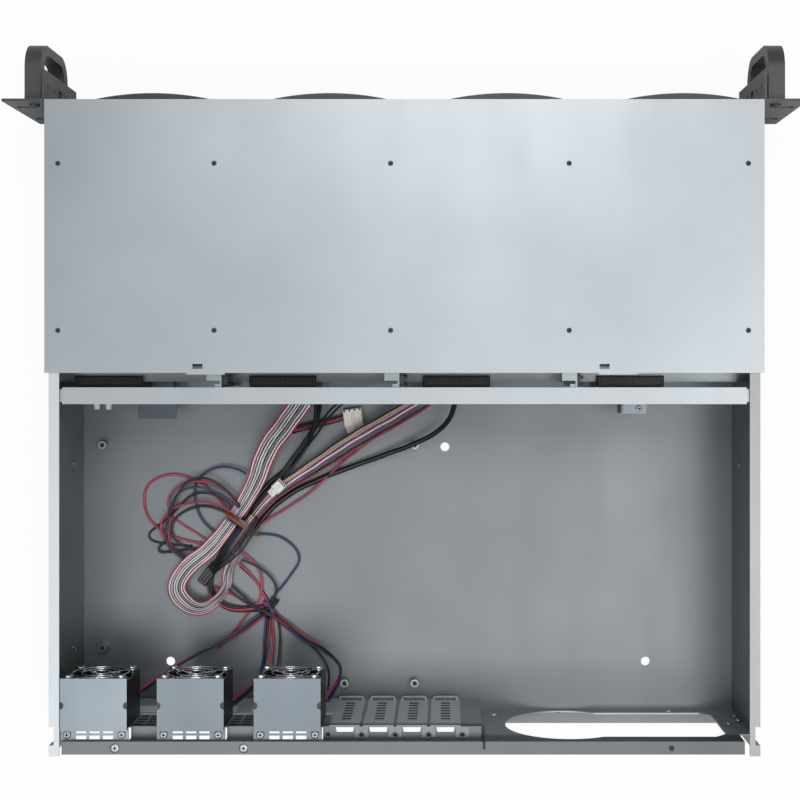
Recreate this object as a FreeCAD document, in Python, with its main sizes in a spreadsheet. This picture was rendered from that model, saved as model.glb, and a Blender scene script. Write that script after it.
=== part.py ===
import FreeCAD, Part
import math
import os
import re

os.makedirs("parts", exist_ok=True)
doc = FreeCAD.newDocument("rack_case")

# Named values, millimetres. X to the right, Y to the drive front, Z up.
# Origin: middle of the underside, halfway between the handle fronts and the rear edge.
VALUES = [
    ("half_w", 213.3), ("sheet", 1.2), ("thin", 1.0), ("pan_front", 177.2), ("rear_end", -215.25),
    ("wall_top", 87.2), ("flange_w", 6.3), ("notch_d", 3.0), ("notch_y0", -208.75), ("notch_y1", -197.75),
    ("cover_w", 431.2), ("cover_y0", 14.55), ("cover_y1", 178.45), ("cover_top", 88.2), ("skirt_h", 24.0),
    ("panel_y", -199.35), ("riser_y", -206.25), ("ledge_z", 78.0), ("rail_top", 87.8), ("rail_y0", -214.05),
    ("step_x", 46.8), ("psu_x0", 48.6), ("panel_x0", -205.4), ("panel_x1", 203.9),
    ("fan_size", 40.0), ("fan_depth", 28.4), ("fan_bore_r", 18.7), ("fan_screw_pitch", 32.0),
    ("fan_z", 66.5), ("fan_front_y", -170.95), ("fan_1_x", -186.5), ("fan_2_x", -128.4), ("fan_3_x", -70.3),
    ("hub_r", 9.6), ("blade_r", 17.9), ("shaft_r", 1.5), ("bearing_r", 1.55),
    ("slot_pitch", 20.32), ("slot_1_x", -36.4), ("cover_strip_w", 18.4),
    ("web_t", 1.0), ("web_1_x", -110.2), ("web_pitch", 106.6), ("web_y0", 5.85), ("web_y1", 165.0), ("web_top", 87.2),
    ("row_pitch", 27.6), ("row_1_z", 1.8), ("tray_h", 26.2), ("tray_w", 100.2), ("tray_y0", 22.0), ("tray_y1", 160.0),
    ("front_peak_y", 182.95), ("front_arc_r", 166.0), ("front_peak_dx", 9.8),
    ("bar_y0", -4.15), ("bar_y1", 5.85), ("bar_half_w", 205.0), ("bar_top", 87.9), ("bar_h", 12.0),
    ("ear_half_w", 241.3), ("ear_y0", 177.25), ("ear_t", 1.6), ("ear_h", 88.0), ("ear_in", 215.7),
    ("cheek_t", 1.5), ("cheek_y1", 196.65), ("rack_half_pitch", 232.55), ("rack_z0", 21.8), ("rack_pitch_z", 44.45),
    ("grip_x0", 219.8), ("grip_t", 10.0), ("grip_y1", 215.25), ("grip_z0", 13.5), ("grip_z1", 79.5), ("grip_r", 16.0),
    ("post_r", 2.6), ("post_h", 7.8), ("post_hole_r", 1.5),
]
V = dict(VALUES)
sheet = doc.addObject("Spreadsheet::Sheet", "dims")
for row, (alias, value) in enumerate(VALUES, start=1):
    sheet.set("A%d" % row, alias)
    sheet.set("B%d" % row, str(value))
    sheet.setAlias("B%d" % row, alias)
doc.recompute()

WORD = re.compile(r"[a-z][a-z_0-9]*")
nodes = {}


def expression(text):
    return WORD.sub(lambda m: "dims." + m.group(0) if m.group(0) in V else m.group(0), text)


def bind(obj, prop, value):
    if isinstance(value, str):
        obj.setExpression(prop, expression(value))
    else:
        obj.setExpression(prop, str(value))


def place(obj, origin, rotation=None):
    if rotation is not None:
        obj.Placement = FreeCAD.Placement(FreeCAD.Vector(0, 0, 0), rotation)
    for axis, value in zip("xyz", origin):
        bind(obj, "Placement.Base." + axis, value)


def box(name, low, size):
    obj = doc.addObject("Part::Box", name)
    for prop, value in zip(("Length", "Width", "Height"), size):
        bind(obj, prop, value)
    place(obj, low)
    return obj


AXES = {
    "z": FreeCAD.Rotation(),
    "y": FreeCAD.Rotation(FreeCAD.Vector(1, 0, 0), -90),
    "x": FreeCAD.Rotation(FreeCAD.Vector(0, 1, 0), 90),
}


def rod(name, start, axis, radius, length):
    obj = doc.addObject("Part::Cylinder", name)
    bind(obj, "Radius", radius)
    bind(obj, "Height", length)
    place(obj, start, AXES[axis])
    return obj


def slab(name, outline, direction):
    """A flat outline of line and arc points, raised along a direction vector."""
    edges = []
    count = len(outline)
    i = 0
    while i < count:
        a = outline[i]
        b = outline[(i + 1) % count]
        if isinstance(b, tuple) and b[0] == "arc":
            end = outline[(i + 2) % count]
            edges.append(Part.Arc(FreeCAD.Vector(*a), FreeCAD.Vector(*b[1]), FreeCAD.Vector(*end)).toShape())
            i += 2
        else:
            edges.append(Part.makeLine(FreeCAD.Vector(*a), FreeCAD.Vector(*b)))
            i += 1
    face = doc.addObject("Part::Feature", name + "_outline")
    face.Shape = Part.Face(Part.Wire(edges))
    obj = doc.addObject("Part::Extrusion", name)
    obj.Base = face
    obj.DirMode = "Custom"
    vector = FreeCAD.Vector(*direction)
    obj.Dir = vector
    obj.LengthFwd = vector.Length
    obj.Solid = True
    return obj


def fuse(name, shapes):
    obj = doc.addObject("Part::MultiFuse", name)
    obj.Shapes = shapes
    return obj


def group(name, shapes):
    obj = doc.addObject("Part::Compound", name)
    obj.Links = shapes
    return obj


def cut(name, base, tools):
    obj = doc.addObject("Part::Cut", name)
    obj.Base = base
    obj.Tool = tools[0] if len(tools) == 1 else group(name + "_tools", tools)
    return obj


def node(obj, label):
    obj.Label = label
    nodes[label] = obj
    return obj


# ---------------------------------------------------------------- chassis pan
POSTS = ((-198.6, -164.85), (-41.1, -187.75), (4.6, -187.75), (-198.6, -32.85), (-41.1, -32.85), (4.6, -32.85))


def make_pan():
    pieces = [box("pan_floor", ("-half_w", "rear_end", 0), ("2*half_w", "pan_front-rear_end", "sheet"))]
    for side, x_wall, x_flange in (("l", "-half_w", "-half_w"), ("r", "half_w-sheet", "half_w-flange_w")):
        pieces.append(box("pan_wall_" + side, (x_wall, "rear_end", 0),
                          ("sheet", "pan_front-rear_end", "wall_top")))
        pieces.append(box("pan_flange_" + side, (x_flange, "rear_end", "wall_top-sheet"),
                          ("flange_w", "pan_front-rear_end", "sheet")))
    body = fuse("pan_sheet", pieces)
    tools = []
    for side, x_low in (("l", "-half_w-1"), ("r", "half_w-notch_d")):
        tools.append(box("pan_notch_" + side, (x_low, "notch_y0", 70), ("notch_d+1", "notch_y1-notch_y0", 20)))
    holes = [(24.2, -34.35, 2.9), (-155.5, -174.75, 2.9), (155.5, -174.75, 2.9)]
    for i, (x, y, r) in enumerate(holes):
        tools.append(rod("pan_hole_%d" % i, (x, y, -1), "z", r, 4))
    for i, (x, y) in enumerate(POSTS):
        tools.append(rod("pan_post_hole_%d" % i, (x, y, -1), "z", "post_hole_r", 4))
    for i, y in enumerate((-45.0, -163.0)):
        tools.append(rod("pan_side_hole_%d" % i, (-215, y, 24), "x", 1.7, 430))
    node(cut("pan_cut", body, tools), "chassis_pan")


# ---------------------------------------------------------------- rear panel
FANS = (1, 2, 3)
SLOTS = (0, 1, 2, 3)


def slot_x(i):
    return V["slot_1_x"] + i * V["slot_pitch"]


def make_rear_panel():
    z0 = V["sheet"]
    pieces = [
        box("rear_wall_a", ("sheet-half_w", "panel_y-thin", z0),
            ("step_x+half_w-sheet", "thin", "ledge_z-%s" % z0)),
        box("rear_ledge", ("panel_x0", "riser_y-thin", "ledge_z-thin"),
            ("step_x-panel_x0", "panel_y-riser_y+thin", "thin")),
        box("rear_riser", ("panel_x0", "riser_y-thin", "ledge_z-thin"),
            ("step_x-panel_x0", "thin", "rail_top-ledge_z+thin")),
        box("rear_return", ("step_x-thin", "riser_y-thin", z0), ("thin", "panel_y-riser_y+thin", "ledge_z-%s" % z0)),
        box("rear_wall_b", ("psu_x0", "riser_y-thin", z0), ("panel_x1-psu_x0", "thin", "rail_top-%s" % z0)),
        box("rear_wing", ("panel_x1-1", "riser_y-thin", z0), ("half_w-sheet-panel_x1+1", "thin", 68.0)),
        box("rear_joggle", ("step_x-thin", "riser_y-thin", z0), ("psu_x0-step_x+2*thin", "thin", "rail_top-%s" % z0)),
        box("rear_rail", ("panel_x0", "rail_y0", "rail_top-thin"), ("panel_x1-panel_x0", "riser_y-rail_y0", "thin")),
    ]
    body = fuse("rear_sheet", pieces)
    tools = []
    for n in FANS:
        fan = "fan_%d_x" % n
        tools.append(rod("rear_fan_hole_%d" % n, (fan, "panel_y-3", "fan_z"), "y", "fan_bore_r", 6))
        tools.append(box("rear_fan_gap_%d" % n, (fan + "-20.8", "riser_y-2", "ledge_z-1.05"),
                         (41.6, "panel_y-riser_y+3", 6.45)))
    # board connector window
    tools.append(box("rear_io_window", (-204.6, "panel_y-3", 5.0), (158.75, 6, 41.0)))
    for i in SLOTS:
        x = slot_x(i)
        tools.append(box("rear_slot_%d" % i, (x - 6.6, "panel_y-3", 12.0), (13.2, 6, 58.0)))
        y0 = V["panel_y"]
        tools.append(slab("rear_relief_%d" % i, [
            (x - 5.9, y0 + 0.5, V["ledge_z"] - 2), (x + 5.9, y0 + 0.5, V["ledge_z"] - 2),
            (x + 4.85, y0 - 3.6, V["ledge_z"] - 2), (x - 4.85, y0 - 3.6, V["ledge_z"] - 2)], (0, 0, 4)))
    for i in range(5):
        x = V["slot_1_x"] - V["slot_pitch"] / 2 + i * V["slot_pitch"]
        tools.append(rod("rear_slot_screw_%d" % i, (x, -204.4, "ledge_z-3"), "z", 1.45, 5))
    # power supply window: round fan part joined to a squared part with cut corners
    y = V["riser_y"] - 3
    tools.append(rod("rear_psu_round", (100.0, y, 43.5), "y", 38.0, 6))
    tools.append(slab("rear_psu_square", [
        (100, y, 11.5), (189, y, 11.5), (196, y, 18.5), (196, y, 68.5), (189, y, 75.5), (100, y, 75.5)], (0, 6, 0)))
    for i, (x, z) in enumerate(((56.0, 16.5), (56.0, 80.5), (170.0, 6.5), (194.0, 80.5))):
        tools.append(rod("rear_psu_screw_%d" % i, (x, "riser_y-3", z), "y", 2.0, 6))
    for i, x in enumerate((-173.5, -96.4, 160.0)):
        tools.append(rod("rear_rail_hole_%d" % i, (x, -210.3, "rail_top-3"), "z", 1.7, 5))
    node(cut("rear_cut", body, tools), "rear_panel")


def make_io_plate():
    plate = box("io_sheet", (-205.2, "panel_y", 3.6), (159.6, 0.8, 42.6))
    tools = []
    for i in range(3):
        for k in range(5):
            tools.append(box("io_vent_%d_%d" % (i, k), (-196.0 + i * 49.0, "panel_y-1", 26.0 + k * 3.6), (40.0, 3, 1.6)))
    node(cut("io_cut", plate, tools), "io_plate")


def make_slot_covers():
    for i in SLOTS:
        x = slot_x(i)
        w = V["cover_strip_w"]
        name = "slot_cover_%d" % (i + 1)
        y = V["panel_y"]
        pieces = [
            box(name + "_strip", (x - w / 2, "panel_y", 6.0), (w, 0.9, "ledge_z-6+0.9")),
            box(name + "_tongue", (x - 5.1, "panel_y", "sheet"), (10.2, 0.9, "6-sheet")),
            box(name + "_tab", (x + 6.1, "riser_y+0.3", "ledge_z"), (8.1, "panel_y-riser_y-0.3", 0.9)),
            slab(name + "_lance", [(x - 5.5, y + 0.9, 6.0), (x + 5.5, y + 0.9, 6.0),
                                   (x + 7.7, y + 0.9, 9.5), (x - 7.7, y + 0.9, 9.5)], (0, 2.2, 0)),
        ]
        body = fuse(name + "_sheet", pieces)
        tools = [box(name + "_vent_%d" % k, (x - 2.95, "panel_y-1", 17.0 + k * 7.2), (5.9, 3, 3.4)) for k in range(7)]
        tools.append(rod(name + "_screw_hole", (x + V["slot_pitch"] / 2, -204.4, "ledge_z-1"), "z", 1.45, 3))
        node(cut(name + "_cut", body, tools), name)


# ---------------------------------------------------------------- fans
def make_fans():
    for n in FANS:
        cx = "fan_%d_x" % n
        x = V[cx]
        z = V["fan_z"]
        y1 = V["fan_front_y"]
        y0 = y1 - V["fan_depth"]
        name = "fan_frame_%d" % n
        shell = box(name + "_block", (cx + "-fan_size/2", "fan_front_y-fan_depth", "fan_z-fan_size/2"),
                    ("fan_size", "fan_depth", "fan_size"))
        tools = [rod(name + "_bore", (cx, "fan_front_y-fan_depth-1", "fan_z"), "y", "fan_bore_r", "fan_depth+2")]
        for i, (sx, sz) in enumerate(((-1, -1), (1, -1), (-1, 1), (1, 1))):
            tools.append(rod(name + "_screw_%d" % i,
                             (cx + "+%d*fan_screw_pitch/2" % sx, "fan_front_y-fan_depth-1",
                              "fan_z+%d*fan_screw_pitch/2" % sz), "y", 2.1, "fan_depth+2"))
        frame = cut(name + "_shell", shell, tools)
        base = rod(name + "_base", (cx, y0, "fan_z"), "y", "hub_r", 5.6)
        arms = [box(name + "_arm_v", (x - 1.5, y0, z - 19.2), (3.0, 2.0, 38.4)),
                box(name + "_arm_h", (x - 19.2, y0, z - 1.5), (38.4, 2.0, 3.0))]
        body = fuse(name + "_body", [frame, base] + arms)
        node(cut(name + "_cut", body, [rod(name + "_bearing", (cx, y0 - 1, "fan_z"), "y", "bearing_r", 8)]), name)

        name = "fan_rotor_%d" % n
        hub = rod(name + "_hub", (cx, y0 + 6.0, "fan_z"), "y", "hub_r", 20.6)
        shaft = rod(name + "_shaft", (cx, y0 + 0.6, "fan_z"), "y", "shaft_r", 6.0)
        pieces = [hub, shaft]
        for k in range(7):
            blade = doc.addObject("Part::Box", name + "_blade_%d" % k)
            blade.Length = 10.2
            blade.Width = 14.0
            blade.Height = 1.1
            pitch = FreeCAD.Rotation(FreeCAD.Vector(1, 0, 0), 38)
            spin = FreeCAD.Rotation(FreeCAD.Vector(0, 1, 0), 360.0 * k / 7)
            local = FreeCAD.Placement(FreeCAD.Vector(7.4, 0, 0), pitch) * FreeCAD.Placement(
                FreeCAD.Vector(0, -7.0, -0.55), FreeCAD.Rotation())
            blade.Placement = FreeCAD.Placement(FreeCAD.Vector(x, y0 + 16.3, z), spin) * local
            pieces.append(blade)
        node(fuse(name + "_body", pieces), name)

        name = "fan_guard_%d" % n
        y = V["fan_front_y"]
        rings = []
        for i, r in enumerate((17.0, 12.5, 8.0)):
            outer = rod(name + "_ring_%d_out" % i, (cx, y + 1.3, "fan_z"), "y", r + 0.6, 1.2)
            inner = rod(name + "_ring_%d_in" % i, (cx, y + 0.3, "fan_z"), "y", r - 0.6, 3.2)
            rings.append(cut(name + "_ring_%d" % i, outer, [inner]))
        spokes = []
        for i in range(2):
            bar = doc.addObject("Part::Box", name + "_spoke_%d" % i)
            bar.Length = 42.0
            bar.Width = 1.3
            bar.Height = 1.2
            turn = FreeCAD.Rotation(FreeCAD.Vector(0, 1, 0), 45 + 90 * i)
            bar.Placement = FreeCAD.Placement(FreeCAD.Vector(x, y, z), turn) * FreeCAD.Placement(
                FreeCAD.Vector(-21.0, 0, -0.6), FreeCAD.Rotation())
            spokes.append(bar)
        eyes = []
        for i, (sx, sz) in enumerate(((-1, -1), (1, -1), (-1, 1), (1, 1))):
            eyes.append(rod(name + "_eye_%d" % i, (x + 16 * sx, y, z + 16 * sz), "y", 2.9, 1.3))
        node(fuse(name + "_body", rings + spokes + eyes), name)

        name = "fan_bracket_%d" % n
        top = V["fan_z"] + V["fan_size"] / 2
        plate = box(name + "_plate", (x - 20, y0 - 0.9, top), (40, V["fan_depth"] + 1.9, 0.9))
        tab = box(name + "_tab", (x - 20.6, "riser_y", 83.4), (41.2, y0 - V["riser_y"], 0.9))
        joint = box(name + "_joint", (x - 20, y0 - 0.9, 83.4), (40, 0.9, 4.0))
        lugs = []
        for i, sx in enumerate((-1, 1)):
            lugs.append(rod(name + "_lug_%d" % i, (x + 16 * sx, y + 1.5, 82.5), "y", 3.6, 0.8))
            lugs.append(box(name + "_neck_%d" % i, (x + 16 * sx - 3.6, y + 1.5, 82.5), (7.2, 0.8, 4.9)))
        front = box(name + "_front", (x - 20, y + 0.8, top), (40, 1.5, 0.9))
        body = fuse(name + "_sheet", [plate, tab, joint, front] + lugs)
        tools = [rod(name + "_notch_%d" % i, (x + 20 * sx, -184.9, 84), "z", 2.2, 6) for i, sx in enumerate((-1, 1))]
        for col in range(3):
            for row in range(2):
                tools.append(box(name + "_vent_%d_%d" % (col, row),
                                 (x - 11.2 + col * 8.05, -205.9 + row * 3.5, 82), (6.3, 2.4, 4)))
        node(cut(name + "_cut", body, tools), name)


# ---------------------------------------------------------------- drive bays
def web_x(i):
    return V["web_1_x"] + i * V["web_pitch"]


def make_bays():
    parts = []
    for i in range(3):
        x = "web_1_x+%d*web_pitch" % i
        parts.append(box("web_%d" % i, (x + "-web_t/2", "web_y0", "sheet"),
                         ("web_t", "web_y1-web_y0", "web_top-sheet")))
        parts.append(box("web_flange_%d" % i, (x + "-web_t/2-8", "web_y0+4", "web_top-0.9"),
                         (8, "web_y1-web_y0-4", 0.9)))
        parts.append(box("web_foot_%d" % i, (x + "-web_t/2-3.2", "web_y0", "web_top-4"), (3.2, 2.0, 3.1)))
    node(group("webs", parts), "bay_dividers")

    shelves = []
    for col in range(4):
        left = -V["half_w"] + V["sheet"] if col == 0 else web_x(col - 1) + V["web_t"] / 2
        right = V["half_w"] - V["sheet"] if col == 3 else web_x(col) - V["web_t"] / 2
        for row in range(2):
            z = V["row_1_z"] + (row + 1) * V["row_pitch"] - 1.1
            shelves.append(box("shelf_%d_%d" % (col, row), (left, "tray_y0-1.5", z), (right - left, "web_y1-tray_y0+1.5", 0.8)))
    node(group("shelves", shelves), "bay_shelves")

    rear = []
    boards = []
    sockets = []
    for col in range(4):
        left = -V["half_w"] + V["sheet"] if col == 0 else web_x(col - 1) + V["web_t"] / 2
        right = V["half_w"] - V["sheet"] if col == 3 else web_x(col) - V["web_t"] / 2
        rear.append(box("bay_lip_%d" % col, (left, 9.05, 61.2), (right - left, 9.4, 0.8)))
        rear.append(box("bay_back_%d" % col, (left, 9.05, "sheet"), (right - left, 0.8, 60.0)))
        rear.append(box("bay_post_%d" % col, (left, 9.85, "sheet"), (0.8, 8.6, 60.0)))
        boards.append(box("board_%d" % col, (left + 0.2, 18.45, 2.0), (right - left - 0.4, 1.6, 82.0)))
        base = V["web_1_x"] + (col - 1) * V["web_pitch"]
        sockets.append(box("socket_%d" % col, (base + 14.5, -2.4, 22.0), (41.0, 11.45, 39.0)))
    node(group("rear_plates", rear), "bay_rear_plate")
    node(group("boards", boards), "backplane")
    node(group("sockets", sockets), "backplane_sockets")

    strips = []
    for i in range(3):
        x = "web_1_x+%d*web_pitch+web_t/2" % i
        strips.append(box("guide_%d" % i, (x, "web_y0+1", 62.0), (4.3, 11.4, 19.0)))
    node(group("guides", strips), "bay_latches")


def make_trays():
    for row in range(3):
        for col in range(4):
            name = "drive_tray_%d%d" % (row + 1, col + 1)
            z = V["row_1_z"] + row * V["row_pitch"]
            cx = V["web_1_x"] + (col - 1) * V["web_pitch"] + 55.3
            half = V["tray_w"] / 2
            x0 = cx - half
            pieces = [
                box(name + "_floor", (x0, "tray_y0", z), ("tray_w", "tray_y1-tray_y0", 1.0)),
                box(name + "_rail_l", (x0, "tray_y0", z + 1.0), (1.2, "tray_y1-tray_y0", 20.0)),
                box(name + "_rail_r", (x0 + V["tray_w"] - 1.2, "tray_y0", z + 1.0), (1.2, "tray_y1-tray_y0", 20.0)),
            ]
            xp = cx + V["front_peak_dx"]
            r = V["front_arc_r"]
            yp = V["front_peak_y"]

            def front(x):
                return yp - r + math.sqrt(r * r - (x - xp) ** 2)

            y_in = V["tray_y1"]
            pieces.append(slab(name + "_bezel", [
                (x0, y_in, z), (x0, front(x0), z), ("arc", (xp, yp, z)),
                (x0 + V["tray_w"], front(x0 + V["tray_w"]), z), (x0 + V["tray_w"], y_in, z)],
                (0, 0, V["tray_h"])))
            node(group(name + "_body", pieces), name)


# ---------------------------------------------------------------- cross bar and cover
def make_bar_and_cover():
    pieces = [
        box("bar_top_face", ("-bar_half_w", "bar_y0", "bar_top-thin"), ("2*bar_half_w", "bar_y1-bar_y0", "thin")),
        box("bar_front_face", ("-bar_half_w", "bar_y1-thin", "bar_top-bar_h"), ("2*bar_half_w", "thin", "bar_h")),
        box("bar_rear_face", ("-bar_half_w", "bar_y0", "bar_top-bar_h"), ("2*bar_half_w", "thin", "bar_h")),
    ]
    for side, x in (("l", "-half_w+sheet"), ("r", "bar_half_w-2")):
        pieces.append(box("bar_end_" + side, (x, "bar_y0+1.2", "bar_top-bar_h"),
                          ("half_w-sheet-bar_half_w+2", "bar_y1-bar_y0-2.4", 9.6)))
    node(fuse("bar_sheet", pieces), "cross_bar")

    pieces = [box("cover_top_face", ("-cover_w/2", "cover_y0", "cover_top-thin"),
                  ("cover_w", "cover_y1-cover_y0", "thin"))]
    for i, x in enumerate((-130.6, 116.4)):
        pieces.append(box("cover_tab_%d" % i, (x, "cover_y0-1.0", "cover_top-thin"), (23.0, 2.0, "thin")))
    for side, x in (("l", "-cover_w/2"), ("r", "cover_w/2-thin")):
        pieces.append(box("cover_skirt_" + side, (x, "cover_y0", "cover_top-skirt_h"),
                          ("thin", "cover_y1-cover_y0", "skirt_h")))
    body = fuse("cover_sheet", pieces)
    tools = []
    for i, x in enumerate((-207.5, -114.0, -8.3, 98.6, 205.9)):
        for k, y in enumerate((40.0, 140.0)):
            tools.append(rod("cover_hole_%d_%d" % (i, k), (x, y, "cover_top-3"), "z", 1.6, 5))
    for i, x in enumerate((-123.9, 119.8)):
        tools.append(box("cover_slot_%d" % i, (x - 3.0, 16.9, "cover_top-3"), (6.0, 3.0, 5)))
    node(cut("cover_cut", body, tools), "top_cover")


# ---------------------------------------------------------------- ears and grips
def make_ears():
    for side, sign in (("left", -1), ("right", 1)):
        name = "rack_ear_" + side

        def sided(x0, x1, y, z, dy, dz, tag):
            low = min(sign * x0, sign * x1)
            return box(name + tag, (low, y, z), (abs(x1 - x0), dy, dz))

        inner = V["ear_in"]
        pieces = [
            sided(inner, V["ear_half_w"], "ear_y0", 0, "ear_t", "ear_h", "_plate"),
            sided(inner, inner + V["cheek_t"], "ear_y0", 7.5, "cheek_y1-ear_y0", "ear_h-7.5", "_cheek"),
            sided(V["half_w"], inner + V["cheek_t"], 150.0, 7.5, "ear_y0-150+ear_t", 52.0, "_leg"),
        ]
        body = fuse(name + "_sheet", pieces)
        tools = []
        for k in range(2):
            z = V["rack_z0"] + k * V["rack_pitch_z"]
            xc = sign * V["rack_half_pitch"]
            half = 5.7 - 3.4
            tools.append(rod(name + "_slot_a%d" % k, (xc - half, "ear_y0-1", z), "y", 3.4, "ear_t+2"))
            tools.append(rod(name + "_slot_b%d" % k, (xc + half, "ear_y0-1", z), "y", 3.4, "ear_t+2"))
            tools.append(box(name + "_slot_c%d" % k, (xc - half, "ear_y0-1", z - 3.4), (2 * half, "ear_t+2", 6.8)))
        for k, (y, z, r) in enumerate(((187.3, 79.0, 1.3), (187.7, 62.7, 1.3), (188.4, 36.7, 1.3))):
            tools.append(rod(name + "_hole_%d" % k, (sign * (inner + 1) - 4, y, z), "x", r, 8))
        tools.append(box(name + "_window", (sign * (inner + 1) - 4, 185.6, 45.5), (8, 4.2, 8.0)))
        node(cut(name + "_cut", body, tools), name)

        name = "handle_" + side
        x = V["grip_x0"] if sign > 0 else -V["grip_x0"] - V["grip_t"]
        y0 = V["ear_y0"] + V["ear_t"]
        y1, z0, z1, r = V["grip_y1"], V["grip_z0"], V["grip_z1"], V["grip_r"]
        c = r * (1 - math.sqrt(0.5))
        outer = slab(name + "_outer", [
            (x, y0, z0), (x, y1 - r, z0), ("arc", (x, y1 - c, z0 + c)), (x, y1, z0 + r), (x, y1, z1 - r),
            ("arc", (x, y1 - c, z1 - c)), (x, y1 - r, z1), (x, y0, z1)], (V["grip_t"], 0, 0))
        wy, wz0, wz1, wr = y1 - 5.8, z0 + 8.2, z1 - 8.2, 10.0
        wc = wr * (1 - math.sqrt(0.5))
        inner_cut = slab(name + "_gap", [
            (x - 1, y0 - 1, wz0), (x - 1, wy - wr, wz0), ("arc", (x - 1, wy - wc, wz0 + wc)), (x - 1, wy, wz0 + wr),
            (x - 1, wy, wz1 - wr), ("arc", (x - 1, wy - wc, wz1 - wc)), (x - 1, wy - wr, wz1), (x - 1, y0 - 1, wz1)],
            (V["grip_t"] + 2, 0, 0))
        node(cut(name + "_cut", outer, [inner_cut]), name)


# ---------------------------------------------------------------- fasteners
def make_fasteners():
    posts = []
    tops = []
    for i, (x, y) in enumerate(POSTS):
        outer = rod("post_%d_out" % i, (x, y, "sheet"), "z", "post_r", "post_h")
        tops.append(rod("post_%d_in" % i, (x, y, "sheet-1"), "z", "post_hole_r", "post_h+2"))
        posts.append(cut("post_%d" % i, outer, [tops[-1]]))
    node(group("posts", posts), "standoffs")

    heads = []
    for n in FANS:
        x = V["fan_%d_x" % n]
        y = V["fan_front_y"]
        for i, (sx, dz) in enumerate(((-1, -16), (1, -16), (-1, 16), (1, 16))):
            y_head = y + 1.3 if dz < 0 else y + 2.3
            heads.append(rod("fan_screw_%d_%d" % (n, i), (x + 16 * sx, y_head, V["fan_z"] + dz), "y", 2.6, 1.6))
        for i, sx in enumerate((-1, 1)):
            heads.append(rod("tab_screw_%d_%d" % (n, i), (x + 16.4 * sx, -202.9, 84.3), "z", 2.5, 1.2))
    for i, (x, z) in enumerate(((224.8, 75.4), (224.8, 17.6), (-224.8, 75.4), (-224.8, 17.6))):
        heads.append(rod("grip_screw_%d" % i, (x, V["ear_y0"] - 1.8, z), "y", 3.3, 1.8))
    node(group("heads", heads), "screws")


make_pan()
make_rear_panel()
make_io_plate()
make_slot_covers()
make_fans()
make_bays()
make_trays()
make_bar_and_cover()
make_ears()
make_fasteners()


# ---------------------------------------------------------------- wiring
TIE_X, TIE_Y = -108.3, -84.4
TIE_ALONG = (0.816, -0.577)
TIE_OUT = (-0.577, -0.816)
TIE_HALF = 2.5


def tie_point(along, out, z):
    return (TIE_X + along * TIE_ALONG[0] + out * TIE_OUT[0], TIE_Y + along * TIE_ALONG[1] + out * TIE_OUT[1], z)


SPLICE = (-89.3, -139.4)
CORDS = {
    "harness_ribbon": (4.0, [
        (-64.9, -2.4, 42), (-76, -17, 27), (-92, -36, 14), tie_point(-6.5, -24, 8), tie_point(-6.5, -TIE_HALF, 7)]),
    "harness_loop": (4.0, [
        tie_point(-6.5, TIE_HALF, 8.6), tie_point(-6.5, 26, 9), (-143, -119, 9), (-150, -139, 9), (-131, -151, 9),
        (-116, -133, 9), tie_point(6.5, 24, 9), tie_point(6.5, TIE_HALF, 8.6)]),
    "harness_sleeve": (3.6, [
        (-56, -2.4, 30), (-58, -20, 19), (-73, -42, 8), tie_point(-1.2, -24, 4.4), tie_point(-1.2, -TIE_HALF, 4)]),
    "harness_power": (6.0, [
        (12.4, -2.4, 34), (-2, -12, 27), (-33, -29, 18), (-63, -49, 11.5), tie_point(3.9, -24, 7.4),
        tie_point(3.9, -TIE_HALF, 7)]),
    "harness_data": (3.2, [
        (31, -2.4, 40), (29, -16, 28), (12, -29, 17), (-17, -40, 8), (-56, -54, 4),
        tie_point(8.9, -24, 4.2), tie_point(8.9, -TIE_HALF, 4)]),
    "harness_tail": (4.4, [
        tie_point(0, TIE_HALF, 3.9), tie_point(0, 23, 3.7), (-133, -127, 3.7), (-115, -143, 3.7),
        (SPLICE[0] - 5, SPLICE[1], 3.7)]),
    "spare_lead_1": (2.4, [
        tie_point(-11, -1, 2.8), (-128, -61, 2.6), (-152, -50, 2.6), (-173, -58, 2.6), (-172, -82, 2.6),
        (-150, -96, 2.6), (-131, -98, 2.6)]),
    "spare_lead_2": (2.4, [
        (SPLICE[0], SPLICE[1] + 5, 4.0), (-78, -120, 4.0), (-68, -106, 3.0), (-84, -90, 2.8), tie_point(11, 1, 3.0)]),
    "fan_lead_1": (2.2, [
        (SPLICE[0] - 5, SPLICE[1] - 3.6, 3.0), (-109, -156, 6), (-136, -167, 14), (-153, -177, 28), (-167.1, -186, 47.5)]),
    "fan_lead_2": (2.2, [
        (SPLICE[0] - 2.0, SPLICE[1] - 5, 3.2), (-92, -161, 7), (-93, -177, 16), (-98, -187, 31), (-109.0, -192, 50)]),
    "fan_lead_3": (2.2, [
        (SPLICE[0] + 2.5, SPLICE[1] - 5, 3.2), (-70, -158, 6), (-49, -167, 14), (-39, -179, 28), (-49.7, -190, 50)]),
}


def tube_section(diameter, centre, direction):
    """An eight-sided ring with the area of a round one."""
    sides = 8
    radius = diameter / 2 * math.sqrt(math.pi / (sides / 2 * math.sin(2 * math.pi / sides)))
    turn = FreeCAD.Rotation(FreeCAD.Vector(0, 0, 1), direction)
    corners = []
    for k in range(sides + 1):
        angle = 2 * math.pi * k / sides
        corners.append(centre + turn.multVec(FreeCAD.Vector(radius * math.cos(angle), radius * math.sin(angle), 0)))
    return Part.makePolygon(corners)


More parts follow.
